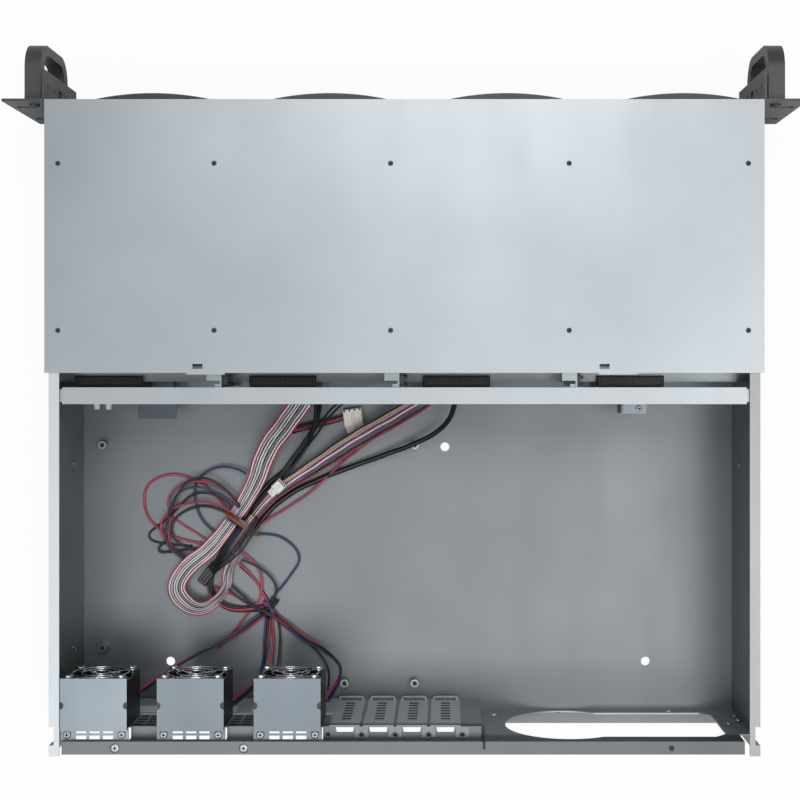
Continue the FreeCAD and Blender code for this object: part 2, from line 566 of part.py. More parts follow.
def make_cord(name, diameter, points):
    """A plain tube whose straight runs are joined by tangent arcs."""
    pts = [FreeCAD.Vector(*p) for p in points]
    edges = []
    radii = []
    start = pts[0]
    for i in range(1, len(pts) - 1):
        back = pts[i - 1] - pts[i]
        ahead = pts[i + 1] - pts[i]
        shorter = min(back.Length, ahead.Length)
        turn = math.pi - back.getAngle(ahead)
        reach = 0.45 * shorter
        radii.append(reach / math.tan(turn / 2))
        back.normalize()
        ahead.normalize()
        first = pts[i] + back * reach
        last = pts[i] + ahead * reach
        inward = back + ahead
        inward.normalize()
        centre = pts[i] + inward * (radii[-1] / math.cos(turn / 2))
        middle = centre - inward * radii[-1]
        edges.append(Part.LineSegment(start, first).toShape())
        edges.append(Part.Arc(first, middle, last).toShape())
        start = last
    edges.append(Part.LineSegment(start, pts[-1]).toShape())
    wire = Part.Wire(edges)
    ring = tube_section(diameter, pts[0], pts[1] - pts[0])
    obj = doc.addObject("Part::Feature", name + "_tube")
    obj.Shape = wire.makePipeShell([ring], True, False)
    want = math.pi * diameter ** 2 / 4 * wire.Length
    print("%s: %.0f mm long, tightest bend %.1f diameters, volume ratio %.3f" % (
        name, wire.Length, min(radii) / diameter, obj.Shape.Volume / want))
    node(obj, name)


def make_wiring():
    for name, (diameter, points) in CORDS.items():
        make_cord(name, diameter, points)
    block = doc.addObject("Part::Box", "tie_block")
    block.Length = 22.0
    block.Width = 2 * TIE_HALF
    block.Height = 10.6
    turn = FreeCAD.Rotation(FreeCAD.Vector(0, 0, 1), math.degrees(math.atan2(TIE_ALONG[1], TIE_ALONG[0])))
    block.Placement = FreeCAD.Placement(FreeCAD.Vector(TIE_X, TIE_Y, V["sheet"]), turn) * FreeCAD.Placement(
        FreeCAD.Vector(-11.0, -TIE_HALF, 0), FreeCAD.Rotation())
    node(block, "cable_tie")
    node(box("splice_block", (SPLICE[0] - 5, SPLICE[1] - 5, "sheet"), (10, 10, 5.0)), "lead_splice")
    plugs = [
        box("plug_a", (-44.0, -27.0, "sheet"), (14.0, 9.0, 6.0)),
        box("plug_b", (-125.0, -60.0, 3.9), (8.0, 6.0, 5.0)),
        box("plug_c", (-131.0, -101.5, "sheet"), (6.5, 7.0, 4.6)),
    ]
    node(group("plugs", plugs), "connectors")


make_wiring()
doc.recompute()

problems = []
for label, obj in nodes.items():
    if "Invalid" in obj.State or "Error" in obj.State or obj.Shape.isNull() or not obj.Shape.isValid():
        problems.append(label)
for obj in doc.Objects:
    if "Invalid" in obj.State or "Error" in obj.State:
        problems.append(obj.Name)
if problems:
    raise RuntimeError("bad shapes: " + ", ".join(problems))
low = [min(getattr(o.Shape.BoundBox, k) for o in nodes.values()) for k in ("XMin", "YMin", "ZMin")]
high = [max(getattr(o.Shape.BoundBox, k) for o in nodes.values()) for k in ("XMax", "YMax", "ZMax")]
print("box", [round(v, 2) for v in low], [round(v, 2) for v in high], len(nodes), "nodes")
for label, obj in nodes.items():
    obj.Shape.exportStep("parts/" + label + ".step")
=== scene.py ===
import math
import random

import bpy
from mathutils import Matrix, Vector


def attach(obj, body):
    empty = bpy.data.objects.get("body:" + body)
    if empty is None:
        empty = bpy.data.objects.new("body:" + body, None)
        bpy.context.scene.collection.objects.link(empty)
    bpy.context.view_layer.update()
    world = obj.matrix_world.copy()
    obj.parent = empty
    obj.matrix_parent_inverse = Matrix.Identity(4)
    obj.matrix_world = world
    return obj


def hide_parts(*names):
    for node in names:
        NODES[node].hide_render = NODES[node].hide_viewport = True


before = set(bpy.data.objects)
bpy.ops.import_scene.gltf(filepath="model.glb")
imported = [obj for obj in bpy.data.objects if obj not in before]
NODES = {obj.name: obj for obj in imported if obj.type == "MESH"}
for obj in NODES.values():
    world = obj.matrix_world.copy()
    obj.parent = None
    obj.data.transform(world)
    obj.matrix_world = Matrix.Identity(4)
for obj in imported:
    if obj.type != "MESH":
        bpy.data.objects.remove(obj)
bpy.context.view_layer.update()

MM = 0.001


# ---------------------------------------------------------------- camera
def make_camera():
    """Looks straight down from a metre above the case; the small shift is the photograph's framing."""
    data = bpy.data.cameras.new("eye")
    data.lens = 69.3
    data.sensor_width = 36.0
    data.shift_x = -0.0563
    data.shift_y = -0.0437
    eye = bpy.data.objects.new("eye", data)
    eye.location = (0.0243, 0.01925, 1.010)
    bpy.context.scene.collection.objects.link(eye)
    bpy.context.scene.camera = eye


make_camera()


# ---------------------------------------------------------------- materials, heights in metres
def linear(text):
    """A colour written as six hex digits, as linear red, green and blue."""
    out = []
    for i in (0, 2, 4):
        c = int(text[i:i + 2], 16) / 255.0
        out.append(c / 12.92 if c <= 0.04045 else ((c + 0.055) / 1.055) ** 2.4)
    return (*out, 1.0)


def node_material(name):
    """A new material, with its nodes, its links and its shader."""
    material = bpy.data.materials.new(name)
    material.use_nodes = True
    tree = material.node_tree
    return material, tree.nodes, tree.links, tree.nodes["Principled BSDF"]


def add_noise(nodes, links, scale, detail, stretch=(1, 1, 1)):
    """Noise in the piece's own coordinates."""
    where = nodes.new("ShaderNodeTexCoord")
    mapping = nodes.new("ShaderNodeMapping")
    mapping.inputs["Scale"].default_value = stretch
    noise = nodes.new("ShaderNodeTexNoise")
    noise.inputs["Scale"].default_value = scale
    noise.inputs["Detail"].default_value = detail
    links.new(where.outputs["Object"], mapping.inputs["Vector"])
    links.new(mapping.outputs["Vector"], noise.inputs["Vector"])
    return noise.outputs["Fac"]


def add_ramp(nodes, links, source, low, high):
    """Two colours blended over the middle of a noise's range."""
    ramp = nodes.new("ShaderNodeValToRGB")
    for end, place, colour in zip(ramp.color_ramp.elements, (0.3, 0.7), (low, high)):
        end.position = place
        end.color = colour
    links.new(source, ramp.inputs["Fac"])
    return ramp.outputs["Color"]


def sheet_metal(name, dark, light, rough, metallic=0.85):
    """Zinc plated sheet: faint clouds in the colour, uneven gloss and a very fine rolled grain."""
    material, nodes, links, shader = node_material(name)
    clouds = add_noise(nodes, links, 9.0, 4.0)
    links.new(add_ramp(nodes, links, clouds, linear(dark), linear(light)), shader.inputs["Base Color"])
    gloss = add_noise(nodes, links, 35.0, 5.0, (1, 0.25, 1))
    spread = nodes.new("ShaderNodeMapRange")
    spread.inputs["To Min"].default_value = rough - 0.05
    spread.inputs["To Max"].default_value = rough + 0.07
    links.new(gloss, spread.inputs["Value"])
    links.new(spread.outputs["Result"], shader.inputs["Roughness"])
    bump = nodes.new("ShaderNodeBump")
    bump.inputs["Strength"].default_value = 0.05
    bump.inputs["Distance"].default_value = 0.0002
    links.new(add_noise(nodes, links, 900.0, 2.0, (0.2, 1, 1)), bump.inputs["Height"])
    links.new(bump.outputs["Normal"], shader.inputs["Normal"])
    shader.inputs["Metallic"].default_value = metallic
    return material


def light_and_shade_metal(name, dark, light, rim, rim_right, low, high, metallic):
    """Sheet with painted light and shade: its colour changes between two heights, to a top colour that runs
    from rim at the left to rim_right.
    """
    material = sheet_metal(name, dark, light, rough=0.42, metallic=metallic)
    nodes, links = material.node_tree.nodes, material.node_tree.links
    shader = nodes["Principled BSDF"]
    clouds = shader.inputs["Base Color"].links[0].from_socket
    where = nodes.new("ShaderNodeTexCoord")
    split = nodes.new("ShaderNodeSeparateXYZ")
    links.new(where.outputs["Object"], split.inputs["Vector"])
    rise = nodes.new("ShaderNodeMapRange")
    rise.inputs["From Min"].default_value = low
    rise.inputs["From Max"].default_value = high
    links.new(split.outputs["Z"], rise.inputs["Value"])
    # Painted shade across the top colour, from rim at the left to rim_right at the right.
    across = nodes.new("ShaderNodeMapRange")
    across.inputs["From Min"].default_value = -0.2
    across.inputs["From Max"].default_value = 0.2
    links.new(split.outputs["X"], across.inputs["Value"])
    # A mix node's sockets 6 and 7 are its two colours, and its output 2 is the mixed one.
    rims = nodes.new("ShaderNodeMix")
    rims.data_type = "RGBA"
    rims.inputs[6].default_value = linear(rim)
    rims.inputs[7].default_value = linear(rim_right)
    links.new(across.outputs["Result"], rims.inputs["Factor"])
    mix = nodes.new("ShaderNodeMix")
    mix.data_type = "RGBA"
    links.new(rise.outputs["Result"], mix.inputs["Factor"])
    links.new(clouds, mix.inputs[6])
    links.new(rims.outputs[2], mix.inputs[7])
    links.new(mix.outputs[2], shader.inputs["Base Color"])
    return material


def moulded(name, dark, light, rough, grain=0.15, scale=700.0):
    """Plastic or powder coat: two close colours in clouds and a fine grain."""
    material, nodes, links, shader = node_material(name)
    clouds = add_noise(nodes, links, 24.0, 3.0)
    links.new(add_ramp(nodes, links, clouds, linear(dark), linear(light)), shader.inputs["Base Color"])
    shader.inputs["Roughness"].default_value = rough
    bump = nodes.new("ShaderNodeBump")
    bump.inputs["Strength"].default_value = grain
    bump.inputs["Distance"].default_value = 0.0002
    links.new(add_noise(nodes, links, scale, 2.0), bump.inputs["Height"])
    links.new(bump.outputs["Normal"], shader.inputs["Normal"])
    return material


STEEL = sheet_metal("zinc_sheet", "7c8285", "888e91", rough=0.34, metallic=0.9)
# Painted light on the pan's top flanges: paler than the floor, and darker towards the right.
PAN = light_and_shade_metal("zinc_pan", "64686b", "6e7275", rim="b4b8bb", rim_right="868787",
                     low=0.0855, high=0.0868, metallic=0.6)
STEEL_COVER = sheet_metal("zinc_cover", "8f9498", "9a9fa3", rough=0.42)
# Painted shade on the rear sheet's ledge and rail above 74 mm: darker than the wall below, and darker still
# towards the right.
STEEL_REAR = light_and_shade_metal("zinc_rear", "94989b", "a0a4a7", rim="63676a", rim_right="545658",
                            low=0.068, high=0.074, metallic=0.6)
# Painted light on the slot covers' faces, which are made paler than the sheet, and painted shade on their
# tabs above the ledge.
STEEL_SLOT = light_and_shade_metal("zinc_slot_cover", "bec2c5", "c8ccce", rim="6e7275", rim_right="6e7275",
                            low=0.072, high=0.076, metallic=0.4)
STEEL_POST = sheet_metal("turned_steel", "8d9194", "9b9fa2", rough=0.35, metallic=0.9)
STEEL_FAN = sheet_metal("zinc_fan_bracket", "757d83", "80878d", rough=0.42, metallic=0.8)
# A darker copy of the bracket sheet, as painted shade on the second and third fans' brackets.
STEEL_FAN_SHADED = sheet_metal("zinc_fan_bracket_shaded", "62696f", "6b7277", rough=0.42, metallic=0.8)
BRIGHT = sheet_metal("bright_plating", "c8cacc", "e0e2e4", rough=0.22, metallic=1.0)
CHROME = sheet_metal("chrome_wire", "d8d8da", "f0f0f2", rough=0.12, metallic=1.0)
BLACK = moulded("black_plastic", "0d0e10", "17181a", rough=0.42)
DARK_COAT = moulded("dark_coat", "303133", "3a3b3d", rough=0.45, grain=0.3, scale=1400.0)
TRAY = moulded("tray_plastic", "1c1715", "2a2321", rough=0.42)
BOARD = moulded("circuit_board", "0f1b16", "16251e", rough=0.5)
WHITE = moulded("white_plastic", "c9c4bd", "dcd8d2", rough=0.45)
TIE = moulded("tie_band", "6d3a22", "a0583a", rough=0.5, grain=0.4, scale=260.0)
WIRE_COLOURS = {
    "red": ("86203a", "ab3350"), "blue": ("152440", "223a66"), "black": ("08090b", "14171a"),
    "white": ("bdb6b2", "d8d2ce"), "pink": ("a78f95", "c7b0b4"), "grey": ("6d6c70", "8b8a8e"),
    "teal": ("1f5553", "2f7a74"), "purple": ("4b2f58", "6d477f"), "tan": ("a08a78", "bfa893"),
    "magenta": ("7a2452", "a33c72"),
}
WIRE = {n: moulded("wire_" + n, a, b, rough=0.38, grain=0.05) for n, (a, b) in WIRE_COLOURS.items()}


# ---------------------------------------------------------------- wiring, in millimetres
TIE_X, TIE_Y = -108.3, -84.4
TIE_ALONG = (0.816, -0.577)
TIE_OUT = (-0.577, -0.816)
TIE_HALF = 2.5
SPLICE = (-89.3, -139.4)
# Faces round a wire, and the radius of a thin one.
WIRE_SIDES = 8
THIN_WIRE = 0.74


def tie_point(along, out, z):
    """A point given from the middle of the tie: along the band, and out towards the loop."""
    return (TIE_X + along * TIE_ALONG[0] + out * TIE_OUT[0],
            TIE_Y + along * TIE_ALONG[1] + out * TIE_OUT[1], z)


def route_line(name, points):
    """The smooth line of a route: a NURBS spline through its control points, read back as points."""
    curve = bpy.data.curves.new(name + "_route", "CURVE")
    curve.dimensions = "3D"
    curve.resolution_u = 10
    spline = curve.splines.new("NURBS")
    spline.points.add(len(points) - 1)
    for knot, p in zip(spline.points, points):
        knot.co = (p[0] * MM, p[1] * MM, p[2] * MM, 1.0)
    spline.order_u = 3
    spline.use_endpoint_u = True
    holder = bpy.data.objects.new(name + "_route", curve)
    bpy.context.scene.collection.objects.link(holder)
    bpy.context.view_layer.update()
    mesh = bpy.data.meshes.new_from_object(holder)
    line = [v.co.copy() for v in mesh.vertices]
    bpy.data.objects.remove(holder)
    bpy.data.meshes.remove(mesh)
    return line


def frames_along(line):
    """A sideways and an upward direction at each point, with sideways kept level."""
    out = []
    for i, p in enumerate(line):
        ahead = (line[min(i + 1, len(line) - 1)] - line[max(i - 1, 0)]).normalized()
        side = ahead.cross(Vector((0, 0, 1)))
        if side.length < 0.2:
            side = out[-1][1] if out else Vector((1, 0, 0))
        side = (side - ahead * side.dot(ahead)).normalized()
        out.append((p, side, side.cross(ahead).normalized()))
    return out


def strand_mesh(name, line, strands, twist, pinch):
    """Wires side by side along a line. A strand is (sideways mm, up mm, radius mm, colour).

    twist is an angle for each millimetre, or a function of the share of the length that has run; pinch is
    such a function too, and draws the strands together.
    """
    sides = WIRE_SIDES
    spots = frames_along(line)
    verts, faces, slots = [], [], []
    colours = sorted({s[3] for s in strands})
    dice = random.Random(sum(ord(c) for c in name))
    total = sum((line[i + 1] - line[i]).length for i in range(len(line) - 1))
    for side_mm, up_mm, radius, colour in strands:
        phase = dice.uniform(0, 2 * math.pi)
        base = len(verts)
        run = 0.0
        for i, (p, side, up) in enumerate(spots):
            if i:
                run += (line[i] - line[i - 1]).length
            t = run / total
            squeeze = pinch(t) if pinch else 1.0
            angle = twist(t) if callable(twist) else twist * run / MM
            wobble = 0.12 * math.sin(phase + run * 300.0)
            a = side_mm * squeeze + wobble
            b = up_mm + 0.08 * math.cos(phase + run * 340.0)
            x = a * math.cos(angle) - b * math.sin(angle)
            y = a * math.sin(angle) + b * math.cos(angle)
            centre = p + side * (x * MM) + up * (y * MM)
            for k in range(sides):
                turn = 2 * math.pi * k / sides
                verts.append(centre + (side * math.cos(turn) + up * math.sin(turn)) * (radius * MM))
        count = len(spots)
        for i in range(count - 1):
            for k in range(sides):
                a = base + i * sides + k
                b = base + i * sides + (k + 1) % sides
                faces.append((a, b, b + sides, a + sides))
                slots.append(colours.index(colour))
        faces.append(tuple(base + k for k in reversed(range(sides))))
        slots.append(colours.index(colour))
        faces.append(tuple(base + (count - 1) * sides + k for k in range(sides)))
        slots.append(colours.index(colour))
    mesh = bpy.data.meshes.new(name)
    mesh.from_pydata([v[:] for v in verts], [], faces)
    for colour in colours:
        mesh.materials.append(WIRE[colour])
    for polygon, index in zip(mesh.polygons, slots):
        polygon.material_index = index
        polygon.use_smooth = len(polygon.vertices) == 4
    piece = bpy.data.objects.new(name, mesh)
    bpy.context.scene.collection.objects.link(piece)
    return piece, total


def round_bundle(radius, colours):
    """Strands of one bundle: one in the middle, the rest in a ring about it."""
    ring = len(colours) - 1
    away = radius / math.sin(math.pi / ring)
    out = [(0, 0, radius, colours[0])]
    for i, c in enumerate(colours[1:]):
        turn = 2 * math.pi * i / ring
        out.append((away * math.cos(turn), away * math.sin(turn), radius, c))
    return out


def lay_cord(name, node, points, strands, twist=0.0, pinch=None):
    """Strands along a route, fixed to the chassis, in place of the CAD node where it has one."""
    line = route_line(name, points)
    piece, length = strand_mesh(name, line, strands, twist, pinch)
    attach(piece, "chassis")
    if node:
        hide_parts(node)


# The ribbon: pale conductors, thinner dark strands between them as painted shade in the grooves between the
# conductors, and a red one at each edge.
PALE = ["white", "white", "grey", "white", "white", "pink", "white"]
GROOVE_SHADE = ["black", "purple", "black", "teal", "black", "purple"]
RIBBON = [(1.75 * (i - 3), 0.0, 0.6, c) for i, c in enumerate(PALE)]
RIBBON += [(1.75 * (i - 2.5), 0.24, 0.4, c) for i, c in enumerate(GROOVE_SHADE)]
RIBBON += [(6.2, 0.1, 0.5, "red"), (-6.2, 0.0, 0.5, "red")]
lay_cord("ribbon_wires", "harness_ribbon", [
    (-64.9, -2.4, 42), (-76, -17, 27), (-92, -36, 14), tie_point(-6.5, -24, 8),
    tie_point(-6.5, -TIE_HALF, 7)],
    RIBBON, pinch=lambda t: 1.0 - 0.35 * max(0.0, t - 0.6) / 0.4)
lay_cord("ribbon_loop_wires", "harness_loop", [
    tie_point(-6.5, TIE_HALF, 8.6), tie_point(-6, 23, 9), (-144.5, -112, 9), (-153, -128, 9),
    (-136, -142.5, 9), (-117.5, -128.5, 9), tie_point(7, 25, 9), tie_point(6.5, TIE_HALF, 8.6)],
    RIBBON,
    twist=lambda t: -1.1 * (0.5 - 0.5 * math.cos(math.pi * min(1.0, max(0.0, t - 0.4) / 0.3))),
    pinch=lambda t: 0.66 + 0.24 * math.sin(math.pi * t))
lay_cord("sleeve_wires", "harness_sleeve", [
    (-56, -2.4, 30), (-58, -20, 19), (-73, -42, 8), tie_point(-1.2, -24, 4.4), tie_point(-1.2, -TIE_HALF, 4)],
    [(-1.3, 0, 1.3, "black"), (1.3, 0, 1.3, "black")], twist=0.08)
lay_cord("power_wires", "harness_power", [
    (12.4, -2.4, 34), (-2, -12, 27), (-33, -29, 18), (-63, -49, 11.5), tie_point(3.9, -24, 7.4),
    tie_point(3.9, -TIE_HALF, 7)],
    [(-4.6, 0.4, 0.62, "red"), (-3.3, 0.9, 0.62, "black"), (-2.0, 1.2, 0.62, "teal"),
     (-0.7, 1.4, 0.62, "magenta"), (0.6, 1.4, 0.62, "white"), (1.9, 1.2, 0.62, "purple"),
     (3.2, 0.9, 0.62, "tan"), (4.5, 0.4, 0.62, "tan"), (5.7, 0.0, 0.62, "black"),
     (0.0, -0.4, 0.9, "black"), (2.0, -0.8, 0.9, "black")],
    pinch=lambda t: 1.0 - 0.55 * max(0.0, t - 0.45) / 0.55)
lay_cord("data_wire", "harness_data", [
    (31, -2.4, 40), (29, -16, 28), (12, -29, 17), (-17, -40, 8), (-56, -54, 4),
    tie_point(8.9, -24, 4.2), tie_point(8.9, -TIE_HALF, 4)],
    [(0, 0, 1.6, "black")])
lay_cord("tail_wires", "harness_tail", [
    tie_point(0, TIE_HALF, 3.9), tie_point(0, 23, 3.7), (-133, -127, 3.7), (-115, -143, 3.7),
    (SPLICE[0] - 5, SPLICE[1], 3.7)],
    round_bundle(0.72, ["black", "black", "black", "blue", "black", "red", "black"]), twist=0.05)
lay_cord("spare_wires_1", "spare_lead_1", [
    tie_point(-11, -1, 2.8), (-128, -61, 2.6), (-152, -50, 2.6), (-173, -58, 2.6), (-172, -82, 2.6),
    (-150, -96, 2.6), (-131, -98, 2.6)],
    [(0, 0, 0.78, "red")])
lay_cord("spare_wires_2", "spare_lead_2", [
    (SPLICE[0], SPLICE[1] + 5, 4.0), (-78, -120, 4.0), (-68, -106, 3.0), (-84, -90, 2.8),
    tie_point(11, 1, 3.0)],
    [(0, 0, 0.78, "blue")])
FAN_TRIO = [(-1.5, -0.2, 0.72, "red"), (0, 0.4, 0.72, "black"), (1.5, -0.2, 0.72, "blue")]
lay_cord("fan_wires_1", "fan_lead_1", [
    (SPLICE[0] - 5, SPLICE[1] - 3.6, 3.0), (-109, -156, 6), (-136, -167, 14), (-153, -177, 28),
    (-167.1, -186, 47.5)],
    FAN_TRIO, twist=0.03)
lay_cord("fan_wires_2", "fan_lead_2", [
    (SPLICE[0] - 2.0, SPLICE[1] - 5, 3.2), (-92, -161, 7), (-93, -177, 16), (-98, -187, 31),
    (-109.0, -192, 50)],
    FAN_TRIO, twist=0.04)
lay_cord("fan_wires_3", "fan_lead_3", [
    (SPLICE[0] + 2.5, SPLICE[1] - 5, 3.2), (-70, -158, 6), (-49, -167, 14), (-39, -179, 28),
    (-49.7, -190, 50)],
    FAN_TRIO, twist=0.03)


# Single wires of the harness, which have no solid in CAD: name, colour, route.
EXTRA_WIRES = [
    ("wire_red_middle", "red", [(-109.1, -69.3, 7.0), (-117.0, -62.8, 6.5), (-127.5, -57.6, 6.0),
        (-138.0, -56.0, 5.6), (-147.8, -58.3, 5.4), (-154.3, -63.9, 5.4), (-156.6, -70.7, 5.4),
        (-155.3, -77.9, 5.4), (-155.7, -88.3, 5.2), (-156.4, -95.5, 5.0), (-151.9, -102.1, 4.6),
        (-143.4, -109.3, 4.2)]),
    ("wire_red_inner", "red", [(-110.4, -81.6, 7.5), (-116.9, -74.4, 7.4), (-126.0, -70.6, 7.2),
        (-135.2, -69.3, 7.0), (-145.6, -71.2, 6.8), (-154.7, -75.1, 6.8), (-160.3, -81.0, 6.6),
        (-161.3, -88.9, 6.2), (-158.2, -95.4, 5.8), (-151.1, -102.7, 5.2), (-142.1, -108.0, 4.4)]),
    ("wire_red_cross", "red", [(-155.6, -78.9, 2.1), (-147.7, -85.4, 2.1), (-137.9, -90.6, 2.1),
        (-127.4, -98.5, 2.1), (-120.2, -103.7, 2.1)]),
    ("wire_blue_top", "blue", [(-105.2, -51.7, 7.0), (-109.2, -48.8, 6.6), (-118.4, -46.6, 6.0),
        (-127.3, -48.2, 5.4), (-135.2, -52.5, 4.6), (-139.1, -59.8, 3.8), (-139.4, -68.3, 3.6),
        (-137.3, -76.8, 3.6), (-132.4, -84.6, 3.6), (-125.3, -91.1, 3.6), (-117.4, -95.7, 3.6)]),
    ("wire_blue_inner", "blue", [(-109.6, -73.7, 8.4), (-115.4, -68.5, 8.4), (-124.5, -63.0, 8.4),
        (-134.3, -59.7, 8.2), (-143.1, -60.7, 8.2), (-149.9, -64.3, 8.2), (-153.5, -70.5, 8.2),
        (-155.5, -78.9, 8.2), (-156.6, -88.1, 7.8), (-157.6, -96.0, 7.0), (-153.5, -102.6, 6.2),
        (-145.9, -107.9, 5.2)]),
    ("wire_dark_high", "black", [(-108.8, -72.3, 9.8), (-115.2, -64.5, 9.8), (-125.6, -55.4, 9.8),
        (-134.1, -53.5, 9.6), (-142.6, -55.4, 9.4), (-148.1, -61.9, 9.4), (-152.6, -71.7, 9.4),
        (-156.3, -82.1, 9.0), (-158.1, -93.2, 8.0), (-153.4, -101.1, 7.2), (-144.4, -106.5, 6.0)]),
    ("wire_dark_outer", "black", [(-110.6, -76.6, 5.6), (-117.1, -70.0, 5.6), (-126.9, -64.8, 5.4),
        (-135.5, -63.6, 5.2), (-143.4, -66.9, 4.6), (-149.4, -73.1, 4.0), (-156.0, -80.7, 3.6),
        (-163.7, -86.0, 2.4), (-169.6, -90.3, 2.1), (-169.0, -95.2, 2.1), (-160.8, -97.5, 2.1),
        (-151.6, -98.5, 2.1), (-141.2, -99.1, 2.1)]),
    ("wire_dark_inner", "black", [(-110.8, -82.6, 4.0), (-116.7, -78.0, 4.0), (-125.8, -73.8, 4.0),
        (-135.6, -72.8, 4.0), (-145.1, -75.4, 4.0), (-152.3, -81.0, 4.0), (-155.3, -88.5, 3.8),
        (-152.0, -95.7, 3.8), (-144.8, -100.2, 3.8), (-137.0, -101.5, 3.8)]),
    ("wire_dark_tail", "black", [(-155.3, -91.1, 3.8), (-159.2, -97.0, 3.8), (-163.4, -99.9, 3.7),
        (-162.1, -103.5, 3.7), (-155.9, -102.9, 3.7), (-148.1, -101.9, 3.7), (-138.3, -100.9, 3.7)]),
    ("wire_right_black", "black", [(-108.7, -107.8, 5.6), (-101.5, -110.5, 5.4), (-95.0, -113.8, 5.2),
        (-89.2, -118.7, 5.2), (-85.6, -125.5, 5.0), (-86.9, -132.8, 4.6), (-90.6, -138.7, 4.2),
        (-95.2, -144.6, 4.0)]),
    ("wire_right_red", "red", [(-110.0, -102.7, 5.0), (-102.9, -107.0, 4.6), (-98.1, -112.6, 4.2),
        (-95.8, -119.1, 4.0), (-95.2, -127.6, 4.0), (-96.8, -134.2, 4.0), (-103.0, -142.0, 3.8),
        (-110.9, -151.2, 3.4), (-119.5, -161.1, 3.0), (-124.0, -165.7, 3.0)]),
    ("wire_right_red_2", "red", [(-110.9, -110.1, 3.4), (-105.1, -114.7, 3.2), (-99.9, -121.6, 3.0),
        (-94.7, -129.8, 2.8), (-90.8, -137.0, 2.6), (-88.8, -145.5, 2.6), (-87.7, -155.2, 3.2),
        (-88.2, -168.0, 5.0), (-89.4, -178.5, 8.0)]),
    ("wire_right_dark_2", "black", [(-109.8, -112.2, 2.3), (-103.2, -118.1, 2.2), (-97.3, -125.3, 2.2),
        (-92.1, -133.1, 2.2), (-87.5, -141.0, 2.2), (-84.2, -148.8, 2.6), (-83.5, -160.3, 3.6),
        (-83.9, -172.7, 6.0), (-86.0, -181.5, 9.0)]),
    ("wire_red_low", "red", [(-126.7, -125.3, 2.4), (-118.9, -128.8, 2.4), (-110.4, -133.5, 2.2),
        (-101.9, -138.4, 2.2), (-93.8, -141.9, 4.6), (-85.9, -145.8, 5.0), (-78.1, -151.6, 5.0),
        (-70.2, -158.1, 5.4)]),
    ("wire_black_pair_a", "black", [(-118.7, -121.1, 4.0), (-112.1, -127.6, 4.0), (-104.8, -133.9, 5.4),
        (-96.9, -139.5, 5.6), (-88.4, -143.0, 6.0), (-78.6, -149.5, 6.2), (-69.5, -157.3, 6.2),
        (-60.3, -165.7, 6.6), (-53.7, -173.2, 8.0), (-50.2, -180.9, 12.0), (-50.9, -189.5, 20.0)]),
    ("wire_plug_black", "black", [(-75.0, -25.0, 6.0), (-62.0, -21.5, 6.6), (-50.0, -19.0, 6.0),
        (-38.0, -15.0, 5.0)]),
    ("wire_plug_dark", "black", [(-74.0, -22.0, 6.2), (-62.0, -18.4, 7.0), (-50.0, -16.4, 6.4),
        (-36.5, -12.4, 5.2)]),
    ("wire_plug_red", "red", [(-74.5, -23.5, 7.6), (-62.0, -20.0, 8.2), (-50.0, -17.6, 7.4),
        (-37.0, -13.4, 5.8)]),
    ("wire_over_a", "black", [(-98.0, -79.0, 11.0), (-102.8, -86.5, 14.0), (-108.0, -95.1, 15.4),
        (-116.6, -103.6, 15.2), (-123.0, -108.5, 12.5), (-129.0, -112.5, 9.0)]),
    ("wire_over_b", "black", [(-96.6, -80.6, 11.0), (-101.4, -88.1, 14.2), (-106.6, -96.7, 15.8),
        (-115.4, -105.4, 15.4), (-122.0, -110.2, 12.5), (-127.8, -114.2, 9.0)]),
    ("wire_over_c", "black", [(-95.2, -82.0, 11.0), (-100.0, -89.7, 14.0), (-105.2, -98.3, 15.4),
        (-114.2, -107.2, 15.0), (-121.0, -112.0, 12.5), (-126.6, -116.0, 9.0)]),
    ("wire_straight_a", "black", [(10.9, 3.0, 40.0), (-10.0, 2.5, 37.0), (-32.0, 1.5, 32.0),
        (-46.5, -5.5, 27.0), (-63.6, -28.0, 15.0), (-78.3, -48.3, 10.0), (-91.3, -63.9, 9.4),
        (-102.0, -77.8, 9.4)]),
    ("wire_straight_b", "black", [(10.9, 1.4, 38.0), (-10.0, 0.9, 35.0), (-30.0, 0.0, 30.0),
        (-44.7, -7.0, 25.0), (-61.8, -29.4, 14.0), (-76.5, -49.7, 9.2), (-89.5, -65.3, 8.6),
        (-100.4, -79.0, 8.6)]),
    ("wire_red_under", "red", [(13.0, -2.4, 28.0), (0.0, -12.0, 18.0), (-12.0, -22.0, 11.0),
        (-37.0, -38.5, 7.0), (-63.0, -64.0, 4.4), (-83.4, -76.7, 4.0), (-98.0, -86.0, 4.5)]),
    ("wire_black_pair_b", "black", [(-121.0, -122.8, 5.8), (-113.9, -129.3, 5.8), (-105.2, -135.3, 7.0),
        (-97.4, -140.2, 7.4), (-90.8, -142.1, 7.6)]),
]

for wire_name, wire_colour, wire_points in EXTRA_WIRES:
    lay_cord(wire_name, None, wire_points, [(0, 0, THIN_WIRE, wire_colour)])


# ---------------------------------------------------------------- small parts, in millimetres
# Fans: their places, the height of their middle, their front face, and half the pitch of their screws.
FAN_XS = (-186.5, -128.4, -70.3)
FAN_Z = 66.5
FAN_FRONT = -170.95
PITCH = 16.0
# Guards: the wire's radius, the rings' radii, and how far the rings stand out from the frame.
GUARD_WIRE = 0.58
GUARD_RINGS = (17.0, 11.3, 5.6)
GUARD_OUT = 1.9
